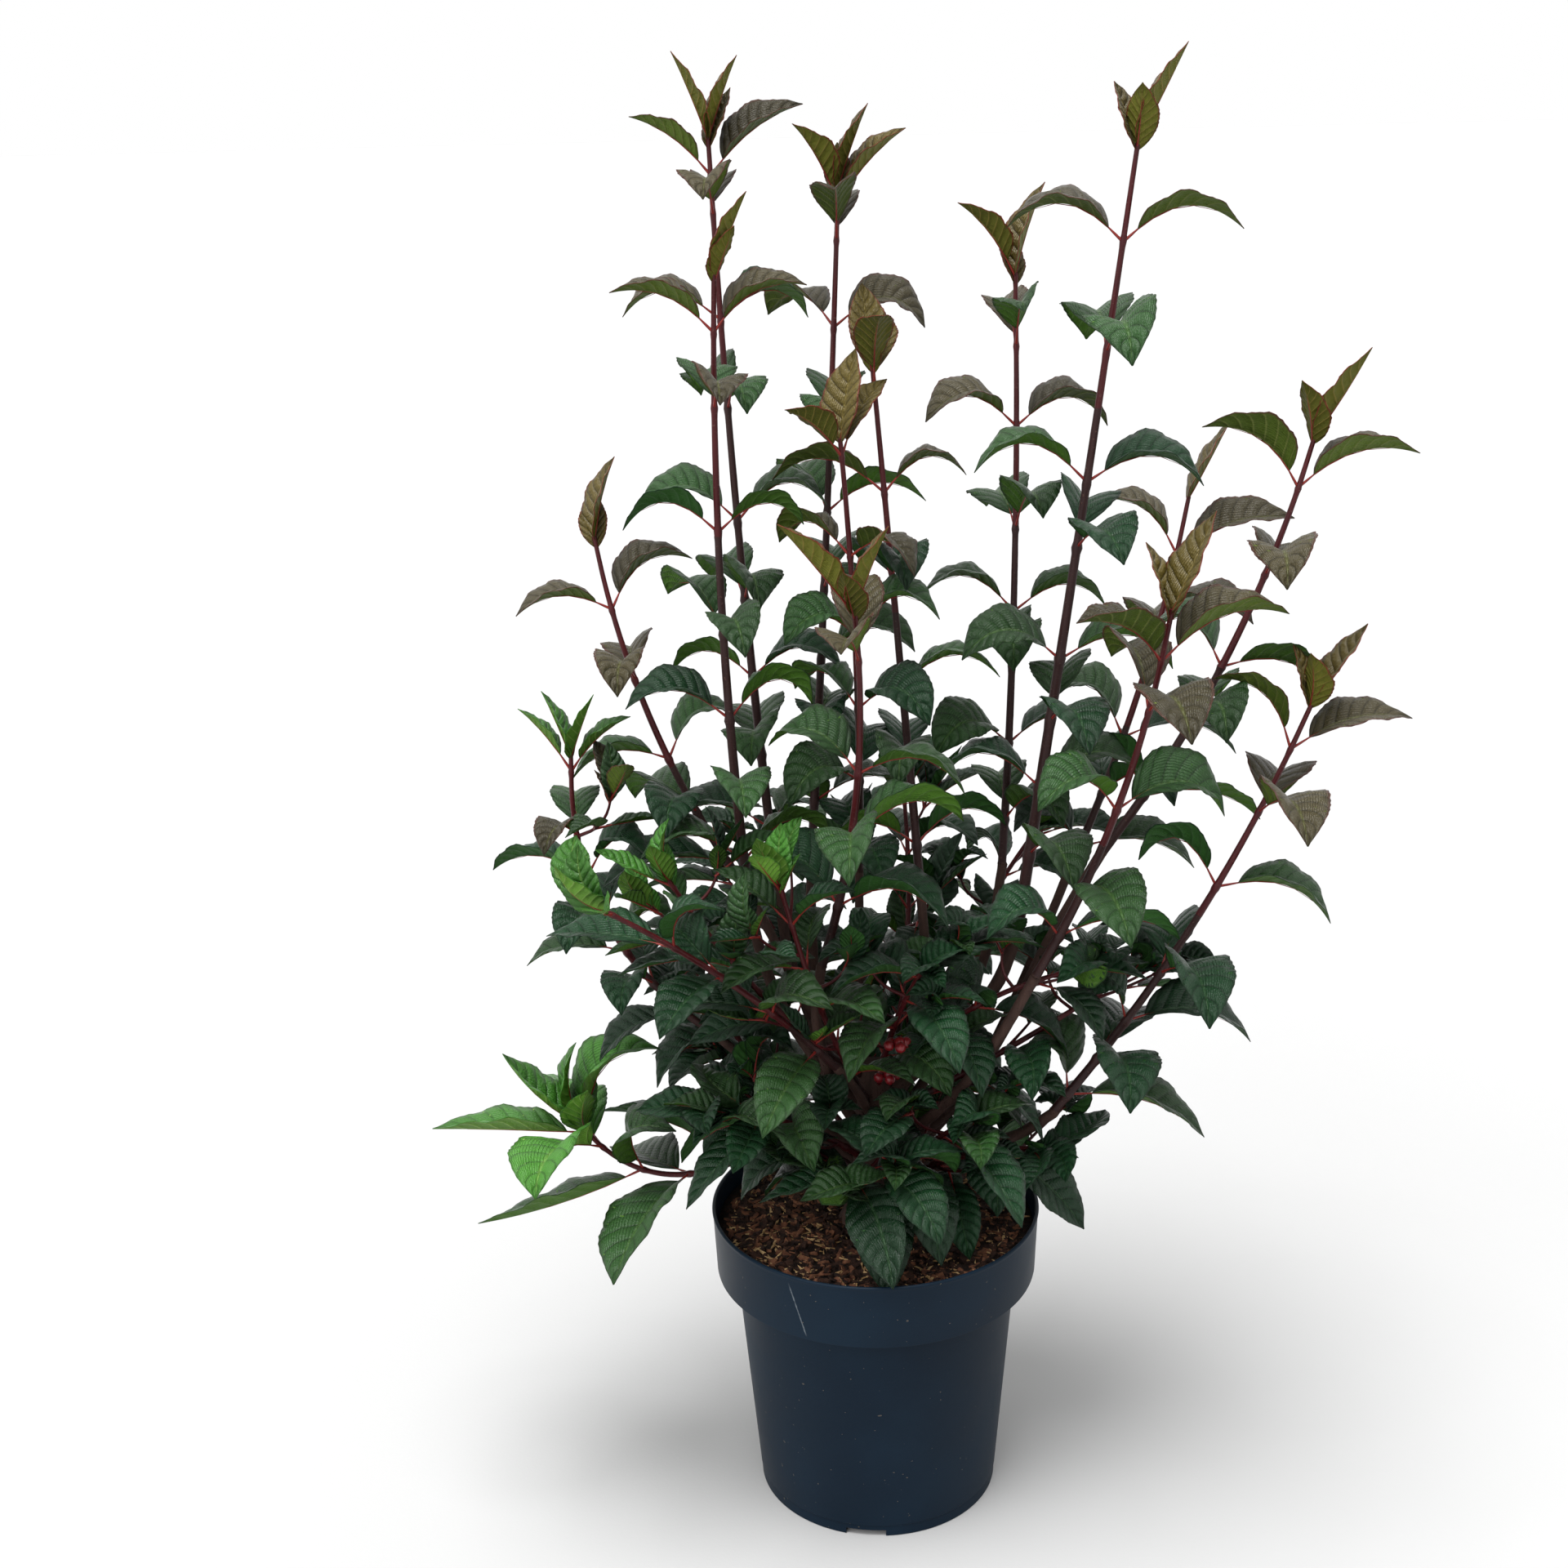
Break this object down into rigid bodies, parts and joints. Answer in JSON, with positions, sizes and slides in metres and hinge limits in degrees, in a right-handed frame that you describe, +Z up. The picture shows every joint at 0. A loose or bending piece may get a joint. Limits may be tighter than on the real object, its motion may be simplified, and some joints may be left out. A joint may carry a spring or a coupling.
{
  "type": "potted charles lamont viburnum",
  "caption": "Upright flowering shrub with opposite pointed leaves on slim reddish stems, built as one with its round plastic nursery pot filled with bark mulch.",
  "frame": {"origin": "middle of the flat pad under the pot, which is the lowest plane of the plant", "axes": "+Z up along the pot's axis, -Y towards the viewer of the picture, +X to that viewer's right"},
  "size_m": [0.8063, 0.4895, 1.2031],
  "materials": {
    "pot_plastic": "satin",
    "bark_mulch": "rough",
    "stem_bark": "satin",
    "foliage": "matt"
  },
  "bodies": {
    "root": {"back_left_foliage": "foliage", "back_middle_foliage": "foliage", "back_right_foliage": "foliage", "bush_left_foliage": "foliage", "bush_right_foliage": "foliage", "centre_front_foliage": "foliage", "centre_right_foliage": "foliage", "front_left_bough": "stem_bark", "front_left_foliage": "foliage", "leaning_right_bough": "stem_bark", "leaning_right_foliage": "foliage", "left_bough": "stem_bark", "left_foliage": "foliage", "low_back_foliage": "foliage", "low_front_foliage": "foliage", "low_front_left_foliage": "foliage", "low_front_right_foliage": "foliage", "low_left_back_foliage": "foliage", "low_left_bough": "stem_bark", "low_left_foliage": "foliage", "low_right_bough": "stem_bark", "low_right_foliage": "foliage", "main_stem": "stem_bark", "middle_back_bough": "stem_bark", "middle_back_foliage": "foliage", "middle_front_bough": "stem_bark", "middle_front_foliage": "foliage", "middle_right_bough": "stem_bark", "middle_right_foliage": "foliage", "mulch": "bark_mulch", "pot": "pot_plastic", "right_back_bough": "stem_bark", "right_back_foliage": "foliage", "right_front_bough": "stem_bark", "right_front_foliage": "foliage", "rim_left_bough": "stem_bark", "rim_left_foliage": "foliage", "rim_right_foliage": "foliage", "tall_left_back_bough": "stem_bark", "tall_left_back_foliage": "foliage", "tall_left_front_bough": "stem_bark", "tall_left_front_foliage": "foliage", "tall_middle_back_bough": "stem_bark", "tall_middle_back_foliage": "foliage", "tall_right_back_bough": "stem_bark", "tall_right_back_foliage": "foliage", "tallest_right_bough": "stem_bark", "tallest_right_foliage": "foliage", "young_front_foliage": "foliage", "young_left_foliage": "foliage"}
  },
  "joints": []
}
